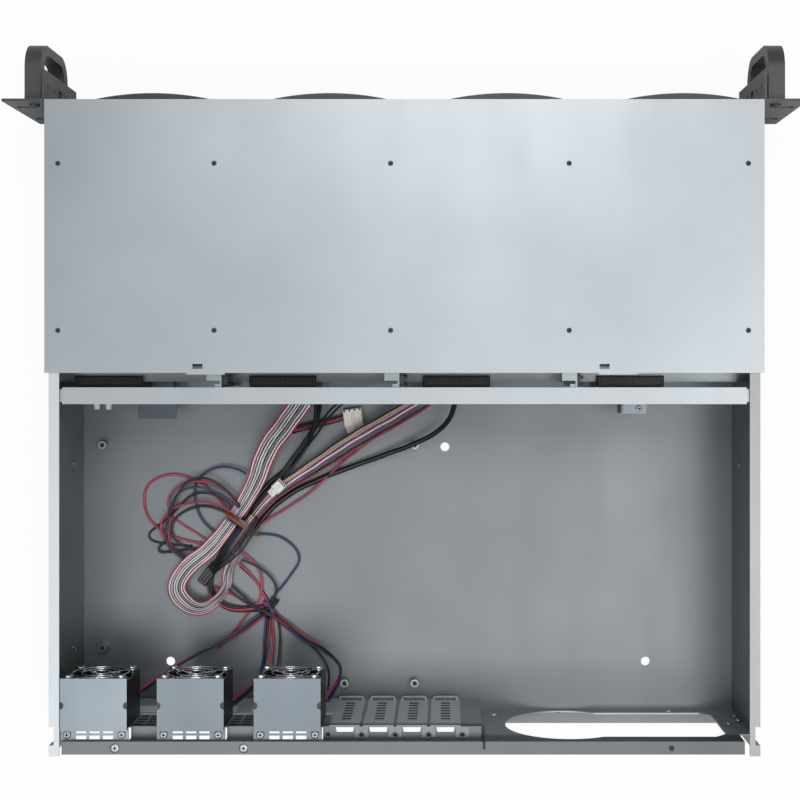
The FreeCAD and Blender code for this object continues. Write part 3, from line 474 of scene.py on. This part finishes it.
# The middle of the first slot cover, the first bay divider, and the step from one to the next.
SLOT_X, SLOT_PITCH = -36.4, 20.32
WEB_X, WEB_PITCH = -110.2, 106.6
PANEL_Y = -199.35
COVER_TOP, RAIL_TOP, LEDGE_TOP, POST_TOP = 88.2, 87.8, 78.0, 9.0
SLOT_TAB = 0.9
RAIL_Y = -210.3
COVER_SCREW_XS, COVER_SCREW_YS = (-207.5, -114.0, -8.3, 98.6, 205.9), (40.0, 140.0)
POSTS = ((-198.6, -164.85), (-41.1, -187.75), (4.6, -187.75),
         (-198.6, -32.85), (-41.1, -32.85), (4.6, -32.85))
GRIP_SCREWS = [(x, z) for x in (-224.8, 224.8) for z in (75.4, 17.6)]
WINDOW_STUDS = ((97.0, 18.7), (201.6, 46.3), (209.5, 25.6), (209.5, 36.7))
# Profiles of turned parts: radius and height of each point.
WALL_RIVET = [(1.9, 0.0), (1.9, 0.25), (1.3, 0.7), (0.5, 0.8)]
STUD = [(1.7, 0.0), (1.7, 0.4), (1.1, 0.9), (0.4, 1.0)]
COLLAR = [(1.35, -2.4), (1.9, -2.4), (2.0, 0.12), (1.6, 0.2), (1.35, 0.0), (1.35, -2.3)]
SLEEVE = [(1.58, -0.75), (1.58, -0.12), (1.3, -0.05), (1.2, -0.2), (1.2, -0.7)]
SMALL_PLUG = [(2.2, 0.0), (2.2, 3.4), (1.9, 3.6), (1.9, 6.0), (1.5, 6.3)]
# Wire housings of the harness: material, place, turn in degrees, and size.
HOUSINGS = (
    (WHITE, (-35.4, -17.0, 1.25), 98, (15.5, 12.4, 6.4)),
    (WHITE, (-84.6, -60.6, 10.6), 43, (11.5, 6.8, 5.2)),
    (BLACK, (-130.0, -117.0, 1.25), 52, (15.0, 6.6, 6.4)),
    (BLACK, (-127.7, -98.0, 1.25), 52, (7.0, 6.5, 4.6)),
)
UP, FORWARD, REARWARD = (0, 0, 1), (0, 1, 0), (0, -1, 0)
# Painted shade: near black for the bores, holes, slits, vents and screw recesses where shade falls.
SHADE_BLACK = moulded("painted_shade_black", "0c0c0d", "141415", rough=0.6)
# Painted shade on sheet metal: dark rings round the rail screws, the lance tops and a tab below the cross
# bar.
DUSK = sheet_metal("shaded_tab", "4a5055", "565c61", rough=0.5)


def fit(piece, slot, *replaced):
    """A piece that is fixed to the chassis; slot, a material slot of the record, is not used."""
    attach(piece, "chassis")
    if replaced:
        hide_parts(*replaced)


class Builder:
    """Gathers faces of several materials, in millimetres, and turns them into one piece."""

    def __init__(self, name):
        self.name = name
        self.verts, self.faces, self.slots, self.soft, self.materials = [], [], [], [], []

    def add(self, verts, faces, material, soft=False):
        if material not in self.materials:
            self.materials.append(material)
        base = len(self.verts)
        self.verts += [tuple(v) for v in verts]
        self.faces += [tuple(base + i for i in f) for f in faces]
        self.slots += [self.materials.index(material)] * len(faces)
        self.soft += [soft and len(f) == 4 for f in faces]

    def block(self, low, high, material, turn=None, about=None, chamfer=0.0):
        """A box with its upper edges chamfered, turned about a point where a turn is given."""
        (x0, y0, z0), (x1, y1, z1) = low, high
        c = chamfer
        rings = [[(x0, y0, z0), (x1, y0, z0), (x1, y1, z0), (x0, y1, z0)],
                 [(x0, y0, z1 - c), (x1, y0, z1 - c), (x1, y1, z1 - c), (x0, y1, z1 - c)]]
        if c:
            rings.append([(x0 + c, y0 + c, z1), (x1 - c, y0 + c, z1),
                          (x1 - c, y1 - c, z1), (x0 + c, y1 - c, z1)])
        self.rings(rings, material, turn, about)

    def rings(self, rings, material, turn=None, about=None, soft=False, closed=True):
        """Skins a stack of closed rings of the same number of points, with end faces where closed."""
        count = len(rings[0])
        verts = [Vector(v) for ring in rings for v in ring]
        if turn is not None:
            pivot = Vector(about)
            verts = [turn @ (v - pivot) + pivot for v in verts]
        faces = []
        for r in range(len(rings) - 1):
            for k in range(count):
                a, b = r * count + k, r * count + (k + 1) % count
                faces.append((a, b, b + count, a + count))
        if closed:
            faces.append(tuple(reversed(range(count))))
            faces.append(tuple(range(len(verts) - count, len(verts))))
        self.add(verts, faces, material, soft)

    def turned(self, profile, place, axis, material, sides=20, closed=True):
        """A turned form: a profile of (radius, height) set up along an axis."""
        turn = Vector(axis).to_track_quat("Z", "Y").to_matrix()
        rings = []
        for r, h in profile:
            ring = []
            for k in range(sides):
                angle = 2 * math.pi * k / sides
                ring.append(turn @ Vector((r * math.cos(angle), r * math.sin(angle), h)) + Vector(place))
            rings.append(ring)
        self.rings(rings, material, soft=True, closed=closed)

    def tube(self, line, radius, material, closed=False):
        """A round wire through points; a closed one joins its last point to its first."""
        points = [Vector(p) for p in line]
        count = len(points)
        turns = [2 * math.pi * k / WIRE_SIDES for k in range(WIRE_SIDES)]
        rings = []
        side = None
        for i, p in enumerate(points):
            before = points[i - 1] if closed or i else p
            after = points[(i + 1) % count] if closed or i < count - 1 else p
            ahead = (after - before).normalized()
            if side is None:
                side = ahead.orthogonal().normalized()
            side = (side - ahead * side.dot(ahead)).normalized()
            up = ahead.cross(side)
            rings.append([p + (side * math.cos(a) + up * math.sin(a)) * radius for a in turns])
        if closed:
            rings.append(rings[0])
        self.rings(rings, material, soft=True, closed=not closed)

    def screw(self, place, axis, radius, height, material):
        """A domed head with a cross recess, whose walls and floor are black as painted shade."""
        turn = Vector(axis).to_track_quat("Z", "Y").to_matrix()
        arm, wide, deep = 0.52 * radius, 0.15 * radius, 0.45 * height
        cross = [(arm, -wide), (arm, wide), (wide, wide), (wide, arm), (-wide, arm), (-wide, wide),
                 (-arm, wide), (-arm, -wide), (-wide, -wide), (-wide, -arm), (wide, -arm), (wide, -wide)]
        angles = [math.atan2(v, u) for u, v in cross]
        rings = []
        for share, rise in ((1.0, 0.0), (1.0, 0.35), (0.9, 0.75), (0.66, 1.0)):
            reach = radius * share
            rings.append([(reach * math.cos(a), reach * math.sin(a), height * rise) for a in angles])
        rings.append([(u, v, height) for u, v in cross])
        head = [[turn @ Vector(v) + Vector(place) for v in ring] for ring in rings]
        self.rings(head, material, closed=False)
        walls = [head[-1], [turn @ Vector((u, v, height - deep)) + Vector(place) for u, v in cross]]
        self.rings(walls, SHADE_BLACK, closed=False)
        self.add(walls[1], [tuple(range(len(cross)))], SHADE_BLACK)

    def done(self):
        mesh = bpy.data.meshes.new(self.name)
        mesh.from_pydata([(v[0] * MM, v[1] * MM, v[2] * MM) for v in self.verts], [], self.faces)
        for material in self.materials:
            mesh.materials.append(material)
        for polygon, index, soft in zip(mesh.polygons, self.slots, self.soft):
            polygon.material_index = index
            polygon.use_smooth = soft
        piece = bpy.data.objects.new(self.name, mesh)
        bpy.context.scene.collection.objects.link(piece)
        return piece


def circle_line(place, radius, count=48):
    """Points of a circle that faces the drive front."""
    out = []
    for k in range(count):
        a = 2 * math.pi * k / count
        out.append((place[0] + radius * math.cos(a), place[1], place[2] + radius * math.sin(a)))
    return out


def make_guards():
    """Finger guards bent from round plated wire: three rings on two crossed wires that end in eyes."""
    for n, x in enumerate(FAN_XS, start=1):
        guard = Builder("wire_guard_%d" % n)
        for r in GUARD_RINGS:
            guard.tube(circle_line((x, FAN_FRONT + GUARD_OUT, FAN_Z), r), GUARD_WIRE, CHROME, closed=True)
        for sx in (-1, 1):
            for sz in (-1, 1):
                line = []
                for share, lift in ((0.0, 0.75), (0.75, 0.75), (0.9, 0.65), (1.0, 0.6)):
                    reach = (PITCH - 2.0) * share
                    line.append((x + sx * reach, FAN_FRONT + lift, FAN_Z + sz * reach))
                guard.tube(line, GUARD_WIRE, CHROME)
                eye = (x + sx * PITCH, FAN_FRONT + 0.65, FAN_Z + sz * PITCH)
                guard.tube(circle_line(eye, 2.3, count=20), 0.6, CHROME, closed=True)
        fit(guard.done(), "guard_wire", "fan_guard_%d" % n)


def make_screws():
    """Cross-head screws of the guards, the bracket tabs and the grips, sunk rail screws ringed with painted
    shade, and rivets.
    """
    heads = Builder("cross_head_screws")
    for x in FAN_XS:
        for sx in (-1, 1):
            heads.screw((x + sx * PITCH, FAN_FRONT + 1.3, FAN_Z - PITCH), FORWARD, 2.7, 1.7, BRIGHT)
            heads.screw((x + sx * PITCH, FAN_FRONT + 2.3, FAN_Z + PITCH), FORWARD, 2.7, 1.7, BRIGHT)
            heads.screw((x + sx * 16.4, -202.9, 84.3), UP, 2.5, 1.3, STEEL_POST)
    for x, z in GRIP_SCREWS:
        heads.screw((x, 177.25, z), REARWARD, 3.3, 1.7, DARK_COAT)
    fit(heads.done(), "plated_metal", "screws")
    rail = Builder("rail_screws")
    for x in (-173.5, -96.4):
        # A dark ring of painted shade round each rail screw for its countersink.
        rail.turned([(2.9, 0.0), (2.9, 0.05), (2.5, 0.06)], (x, RAIL_Y, RAIL_TOP), UP, DUSK)
        rail.screw((x, RAIL_Y, RAIL_TOP + 0.04), UP, 2.4, 0.3, STEEL_POST)
    # A black disc of painted shade for a hole in the rail.
    rail.turned([(1.8, 0.0), (1.8, 0.03)], (160.0, RAIL_Y, RAIL_TOP - 0.5), UP, SHADE_BLACK, sides=14)
    fit(rail.done(), "plated_metal")
    rivets = Builder("wall_rivets")
    for sign in (-1, 1):
        for y in (-43.3, -160.3):
            rivets.turned(WALL_RIVET, (sign * 212.1, y, 30.5), (-sign, 0, 0), STEEL)
    for x, z in WINDOW_STUDS:
        rivets.turned(STUD, (x, -205.25, z), FORWARD, BRIGHT)
    fit(rivets.done(), "plated_metal")


def make_slot_bosses():
    """Collars in the ledge for the slot cover screws, with black painted shade in their bores, and painted
    shade in the stand-offs' bores.
    """
    bosses = Builder("slot_screw_collars")
    for k in range(5):
        place = (SLOT_X + SLOT_PITCH * (k - 0.5), -204.4, LEDGE_TOP + (SLOT_TAB if k else 0.0))
        bosses.turned(COLLAR, place, UP, STEEL_SLOT, closed=False)
        bosses.turned([(1.4, -2.3), (1.4, -1.9)], place, UP, SHADE_BLACK)
    for x, y in POSTS:
        bosses.turned([(1.42, -0.9), (1.42, -0.6)], (x, y, POST_TOP), UP, SHADE_BLACK)
    fit(bosses.done(), "plated_metal")


def make_panel_shade():
    """The gap beside the supply wall and the vents between the fans: thin black blocks of painted shade on
    the sheet.
    """
    marks = Builder("panel_gaps")
    lowest, step, wide, tall = 50.5, 7.1, 5.2, 3.3
    marks.block((46.9, -210.9, 87.3), (48.5, -206.1, 87.83), SHADE_BLACK)
    marks.block((46.2, -206.2, 77.0), (48.4, -199.6, 78.05), SHADE_BLACK)
    for left, right in zip(FAN_XS, FAN_XS[1:]):
        middle = (left + right) / 2
        for column in (-4.6, 2.4):
            for k in range(4):
                x, z = middle + column, lowest + step * k
                marks.block((x - wide / 2, PANEL_Y - 0.05, z),
                            (x + wide / 2, PANEL_Y + 0.1, z + tall), SHADE_BLACK)
    fit(marks.done(), "galvanised_sheet")


def make_cover_threads():
    """Threaded sleeves in the cover's screw holes, dark with painted shade."""
    sleeves = Builder("cover_screw_sleeves")
    for x in COVER_SCREW_XS:
        for y in COVER_SCREW_YS:
            place = (x, y, COVER_TOP)
            # The sleeves sit above 74 mm and take the rear sheet's painted-shade top colour; a black disc of
            # painted shade closes each bore.
            sleeves.turned(SLEEVE, place, UP, STEEL_REAR, closed=False)
            sleeves.turned([(1.25, -0.78), (1.25, -0.7)], place, UP, SHADE_BLACK)
    fit(sleeves.done(), "plated_metal")


def make_slot_shade():
    """Painted shade: black blocks in the slot covers' vents, and dark tops on the lances at their feet."""
    backs = Builder("slot_cover_shade")
    lowest, step, wide, tall = 17.0, 7.2, 5.9, 3.4
    for k in range(4):
        x = SLOT_X + SLOT_PITCH * k
        for row in range(7):
            z = lowest + step * row
            backs.block((x - wide / 2, PANEL_Y + 0.02, z), (x + wide / 2, PANEL_Y + 0.93, z + tall), SHADE_BLACK)
        backs.block((x - 7.2, -198.4, 9.5), (x + 7.2, -196.6, 9.56), DUSK)
    fit(backs.done(), "galvanised_sheet")


def make_bay_details():
    """Plug blocks on the backplane lip, notched guides, and the plugs and tabs below the cross bar, with a
    dark tab and a black slit of painted shade.
    """
    blocks = Builder("backplane_plugs")
    for column in range(4):
        x0 = WEB_X + WEB_PITCH * (column - 1) + 14.5
        blocks.block((x0, 6.2, 62.05), (x0 + 41.0, 12.6, 66.5), BLACK, chamfer=0.5)
        for k in range(2):
            blocks.block((x0 + 2 + 20 * k, 7.2, 66.5), (x0 + 19 + 20 * k, 11.6, 66.9), BLACK, chamfer=0.3)
    fit(blocks.done(), "black_plastic")
    guides = Builder("notched_guides")
    foot, head = 62.0, 81.0
    for i in range(3):
        x = WEB_X + WEB_PITCH * i + 0.5
        guides.block((x, 6.85, foot), (x + 2.6, 18.25, head), BLACK)
        for y in (6.85, 11.0, 15.6):
            guides.block((x + 2.6, y, foot), (x + 4.3, y + 1.9, head), BLACK, chamfer=0.4)
    fit(guides.done(), "black_plastic", "bay_latches")
    below = Builder("bay_wiring_ends")
    for x in (-194.6, -187.2):
        below.turned(SMALL_PLUG, (x, -2.4, 42.0), REARWARD, WHITE)
    # A dark tab of painted shade.
    below.block((-172.0, -15.0, 24.0), (-147.6, 4.0, 25.0), DUSK)
    below.block((-172.0, 3.0, 24.0), (-147.6, 9.0, 34.0), DUSK)
    below.block((137.4, -11.6, 30.0), (152.2, 9.0, 31.0), STEEL_FAN)
    # A black slit of painted shade beside the plate.
    below.block((134.0, -11.2, 29.4), (136.2, 9.0, 30.4), SHADE_BLACK)
    below.screw((147.5, -8.4, 31.0), UP, 2.2, 0.8, STEEL_REAR)
    fit(below.done(), "galvanised_sheet")


def make_plugs():
    """White housings with a narrow nose, a latch and four contact openings in black painted shade, and plain
    black ones.
    """
    plugs = Builder("wire_housings")
    for material, place, degrees, (length, width, height) in HOUSINGS:
        turn = Matrix.Rotation(math.radians(degrees), 3, "Z")
        x, y, z = place
        half, side, top = length / 2, width / 2, z + height
        if material is BLACK:
            plugs.block((x - half, y - side, z), (x + half, y + side, top), BLACK, turn, place, 0.5)
            plugs.block((x - half + 2, y - 1.2, top), (x + half - 4, y + 1.2, top + 0.9), BLACK,
                        turn, place, 0.4)
            continue
        plugs.block((x - half + 4, y - side, z), (x + half, y + side, top), WHITE, turn, place, 0.5)
        plugs.block((x - half, y - side + 0.9, z + 0.4), (x - half + 4, y + side - 0.9, top - 0.8), WHITE,
                    turn, place, 0.3)
        plugs.block((x - half + 1.5, y - 1.0, top - 0.8), (x + half - 2.5, y + 1.0, top + 0.5), WHITE,
                    turn, place, 0.4)
        # Black painted shade in the four contact openings.
        for k in range(4):
            v = y - side + 1.2 + k * (width - 2.4) / 3
            plugs.block((x + half - 1.6, v - 0.45, top), (x + half - 0.2, v + 0.45, top + 0.04), SHADE_BLACK,
                        turn, place)
    fit(plugs.done(), "white_plastic", "connectors")


def make_tie():
    """Twisted tie round the harness: two thin strands over the bundle and down to the floor each side."""
    tie = Builder("twist_tie")
    steps, half_turns = 32, 9
    reach, foot, rise = 12.6, 1.9, 11.2
    for strand in (-1, 1):
        line = []
        for k in range(steps + 1):
            angle = math.pi * k / steps
            lift = foot + rise * math.sin(angle) ** 0.45
            wave = 0.55 * strand * math.sin(half_turns * angle)
            sway = 0.3 * strand * math.cos(half_turns * angle)
            line.append(tie_point(-reach * math.cos(angle), wave - 0.6, lift + sway))
        tie.tube(line, 0.78, TIE)
    fit(tie.done(), "tie_band", "cable_tie")


def make_crossing():
    """Where the leads cross and part for the three fans: short lengths bound over each other."""
    knot = Builder("lead_crossing")
    x, y = SPLICE
    for angle, z, colour in ((0.45, 3.2, "black"), (0.75, 4.2, "black"), (2.2, 4.9, "red"),
                             (2.6, 3.4, "blue"), (1.2, 2.4, "red"), (1.9, 5.7, "blue")):
        line = []
        for step in range(-3, 4):
            s = 2.2 * step
            bend = 0.06 * s * s
            line.append((x + s * math.cos(angle) - bend * math.sin(angle),
                         y + s * math.sin(angle) + bend * math.cos(angle), z))
        knot.tube(line, THIN_WIRE, WIRE[colour])
    fit(knot.done(), "cable_sheath", "lead_splice")


make_guards()
make_screws()
make_slot_bosses()
make_panel_shade()
make_cover_threads()
make_slot_shade()
make_bay_details()
make_plugs()
make_tie()
make_crossing()


# ---------------------------------------------------------------- CAD nodes
def dress(material, *names):
    """Gives the CAD nodes that stay in sight a material in place of their own."""
    for name in names:
        slots = NODES[name].data.materials
        slots.clear()
        slots.append(material)


dress(PAN, "chassis_pan")
dress(STEEL, "bay_dividers", "bay_shelves", "bay_rear_plate")
dress(STEEL_SLOT, "slot_cover_1", "slot_cover_2", "slot_cover_3", "slot_cover_4", "io_plate")
dress(STEEL_REAR, "rear_panel")
dress(STEEL_COVER, "top_cover", "cross_bar")
dress(STEEL_FAN, "fan_bracket_1")
dress(STEEL_FAN_SHADED, "fan_bracket_2", "fan_bracket_3")
dress(STEEL_POST, "standoffs")
dress(BLACK, "backplane_sockets")
dress(BOARD, "backplane")
dress(DARK_COAT, "rack_ear_left", "rack_ear_right", "handle_left", "handle_right")
for n in (1, 2, 3):
    dress(BLACK, "fan_frame_%d" % n, "fan_rotor_%d" % n)
for row in (1, 2, 3):
    for col in (1, 2, 3, 4):
        dress(TRAY, "drive_tray_%d%d" % (row, col))


# ---------------------------------------------------------------- stage and light
def make_stage():
    """A pale floor that takes the case's shadow and is nearly white to the camera."""
    mesh = bpy.data.meshes.new("floor")
    half, level = 3.0, -0.0006
    mesh.from_pydata([(-half, -half, level), (half, -half, level), (half, half, level), (-half, half, level)],
                     [], [(0, 1, 2, 3)])
    floor = bpy.data.objects.new("floor", mesh)
    bpy.context.scene.collection.objects.link(floor)
    material, nodes, links, shader = node_material("floor_white")
    shader.inputs["Base Color"].default_value = (0.8, 0.8, 0.8, 1)
    shader.inputs["Roughness"].default_value = 0.9
    glow = nodes.new("ShaderNodeEmission")
    glow.inputs["Color"].default_value = (1, 1, 1, 1)
    ray = nodes.new("ShaderNodeLightPath")
    share = nodes.new("ShaderNodeMath")
    share.operation = "MULTIPLY"
    share.inputs[1].default_value = 0.94
    mix = nodes.new("ShaderNodeMixShader")
    links.new(ray.outputs["Is Camera Ray"], share.inputs[0])
    links.new(share.outputs[0], mix.inputs["Fac"])
    links.new(shader.outputs[0], mix.inputs[1])
    links.new(glow.outputs[0], mix.inputs[2])
    links.new(mix.outputs[0], nodes["Material Output"].inputs["Surface"])
    mesh.materials.append(material)


# Soft lamps: name, place, the point each faces, size, watts, colour.
LAMPS = (
    ("key", (0.10, 0.58, 1.5), (0.06, 0.1, 0.08), (0.95, 0.55), 8.8, (1, 1, 1)),
    ("side", (0.68, -0.25, 1.4), (0.2, -0.05, 0.05), (0.6, 0.9), 6.4, (1.0, 0.99, 0.97)),
    ("back", (0.02, -0.50, 1.4), (0.0, -0.12, 0.02), (1.1, 0.45), 6.4, (1, 1, 1)),
    ("fill", (-0.7, -0.4, 1.4), (-0.05, 0, 0.05), (0.9, 0.9), 3.4, (0.95, 0.98, 1.0)),
)


def make_lamp(name, place, aim, size, watts, colour):
    """A rectangular soft lamp that faces a point."""
    data = bpy.data.lights.new(name, "AREA")
    data.shape = "RECTANGLE"
    data.size, data.size_y = size
    data.energy = watts
    data.color = colour
    lamp = bpy.data.objects.new(name, data)
    lamp.location = place
    lamp.rotation_euler = (Vector(aim) - Vector(place)).to_track_quat("-Z", "Y").to_euler()
    bpy.context.scene.collection.objects.link(lamp)


def make_world():
    """Faint cool light all round, and white where the camera sees past the floor."""
    world = bpy.data.worlds.new("studio")
    bpy.context.scene.world = world
    world.use_nodes = True
    nodes, links = world.node_tree.nodes, world.node_tree.links
    back = nodes["Background"]
    ray = nodes.new("ShaderNodeLightPath")
    white = nodes.new("ShaderNodeBackground")
    white.inputs["Color"].default_value = (1, 1, 1, 1)
    back.inputs["Color"].default_value = (0.90, 0.95, 1.0, 1)
    back.inputs["Strength"].default_value = 0.34
    mix = nodes.new("ShaderNodeMixShader")
    links.new(ray.outputs["Is Camera Ray"], mix.inputs["Fac"])
    links.new(back.outputs[0], mix.inputs[1])
    links.new(white.outputs[0], mix.inputs[2])
    links.new(mix.outputs[0], nodes["World Output"].inputs["Surface"])


make_stage()
make_world()
for lamp in LAMPS:
    make_lamp(*lamp)

bpy.context.scene.view_settings.view_transform = "Standard"
